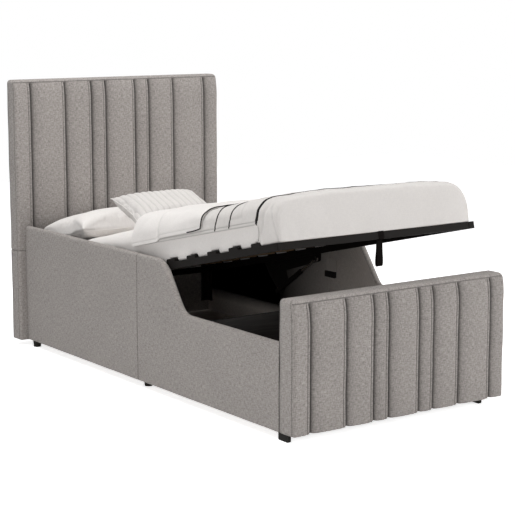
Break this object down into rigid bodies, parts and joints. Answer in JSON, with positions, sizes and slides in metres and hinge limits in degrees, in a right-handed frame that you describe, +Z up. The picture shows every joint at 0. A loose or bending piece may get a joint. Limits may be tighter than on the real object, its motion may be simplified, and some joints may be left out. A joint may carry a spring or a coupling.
{
  "type": "storage bed",
  "caption": "Upholstered single bed with fluted head and foot boards, a lifting slatted platform on gas struts, a mattress and bedding, standing part open.",
  "frame": {"origin": "centre of the bed's outline, on the floor", "axes": "+Z up, +Y from the footboard towards the headboard, +X to the right as seen from the foot"},
  "size_m": [1.105, 2.119, 1.219],
  "materials": {
    "upholstery": "grey-brown woven upholstery",
    "lining": "dark dust-cover cloth",
    "board": "dark faced board",
    "timber": "plain softwood",
    "slat_timber": "lacquered bent beech",
    "frame_steel": "black powder coat",
    "bright_steel": "polished piston rod",
    "plastic": "black moulded plastic",
    "linen": "white cotton bedding",
    "webbing": "black woven webbing"
  },
  "bodies": {
    "bed_base": {"headboard_pad": "upholstery", "headboard_base": "upholstery", "headboard_back_cover": "lining", "footboard_pad": "upholstery", "footboard_back_cover": "lining", "side_panel_left_foot": "upholstery", "side_panel_left_head": "upholstery", "side_panel_right_foot": "upholstery", "side_panel_right_head": "upholstery", "cross_divider": "board", "floor_board_foot": "board", "floor_batten_foot_left": "timber", "corner_bracket_foot_left": "frame_steel", "floor_batten_foot_right": "timber", "corner_bracket_foot_right": "frame_steel", "floor_board_head": "board", "floor_batten_head_left": "timber", "corner_bracket_head_left": "frame_steel", "floor_batten_head_right": "timber", "corner_bracket_head_right": "frame_steel", "foot_head_left": "plastic", "foot_middle_left": "plastic", "foot_front_left": "plastic", "rest_bracket_left": "frame_steel", "hinge_plate_left": "frame_steel", "foot_head_right": "plastic", "foot_middle_right": "plastic", "foot_front_right": "plastic", "rest_bracket_right": "frame_steel", "hinge_plate_right": "frame_steel"},
    "platform": {"side_rail_left": "frame_steel", "lift_arm_left": "frame_steel", "side_rail_right": "frame_steel", "lift_arm_right": "frame_steel", "foot_rail": "frame_steel", "head_rail": "frame_steel", "slat_01": "slat_timber", "slat_02": "slat_timber", "slat_03": "slat_timber", "slat_04": "slat_timber", "slat_05": "slat_timber", "slat_06": "slat_timber", "slat_07": "slat_timber", "slat_08": "slat_timber", "slat_09": "slat_timber", "slat_10": "slat_timber", "slat_11": "slat_timber", "slat_12": "slat_timber", "strap_wrap": "webbing", "mattress": "linen", "cover": "linen", "cover_fold": "linen", "pillow": "linen", "ribbed_cushion": "linen"},
    "strut_tube_left": {"gas_strut_tube_left": "frame_steel"},
    "strut_rod_left": {"gas_strut_rod_left": "bright_steel"},
    "strut_tube_right": {"gas_strut_tube_right": "frame_steel"},
    "strut_rod_right": {"gas_strut_rod_right": "bright_steel"},
    "pull_strap": {"pull_strap": "webbing"}
  },
  "joints": [
    {"name": "platform_lift", "type": "hinge", "parent": "bed_base", "child": "platform", "pos_m": [0, 0.3655, 0.352], "axis": [-1, 0, 0], "range_deg": [-13.2, 16.8]},
    {"name": "strut_swing_left", "type": "hinge", "parent": "bed_base", "child": "strut_tube_left", "pos_m": [-0.463, 0.3655, 0.242], "axis": [-1, 0, 0], "range_deg": [-11, 14]},
    {"name": "strut_stroke_left", "type": "slide", "parent": "strut_tube_left", "child": "strut_rod_left", "axis": [0, -0.8386, 0.5447], "range_m": [-0.021, 0.0268]},
    {"name": "strut_swing_right", "type": "hinge", "parent": "bed_base", "child": "strut_tube_right", "pos_m": [0.463, 0.3655, 0.242], "axis": [-1, 0, 0], "range_deg": [-11, 14]},
    {"name": "strut_stroke_right", "type": "slide", "parent": "strut_tube_right", "child": "strut_rod_right", "axis": [0, -0.8386, 0.5447], "range_m": [-0.021, 0.0268]},
    {"name": "strap_swing", "type": "hinge", "parent": "platform", "child": "pull_strap", "pos_m": [0.004, -0.9004, 0.6785], "axis": [-1, 0, 0], "range_deg": [-45, 25]}
  ],
  "couplings": [
    {"joint": "strut_swing_left", "follows": "platform_lift", "ratio": 0.8217},
    {"joint": "strut_stroke_left", "follows": "platform_lift", "m_per_rad": 0.0903},
    {"joint": "strut_swing_right", "follows": "platform_lift", "ratio": 0.8217},
    {"joint": "strut_stroke_right", "follows": "platform_lift", "m_per_rad": 0.0903}
  ]
}
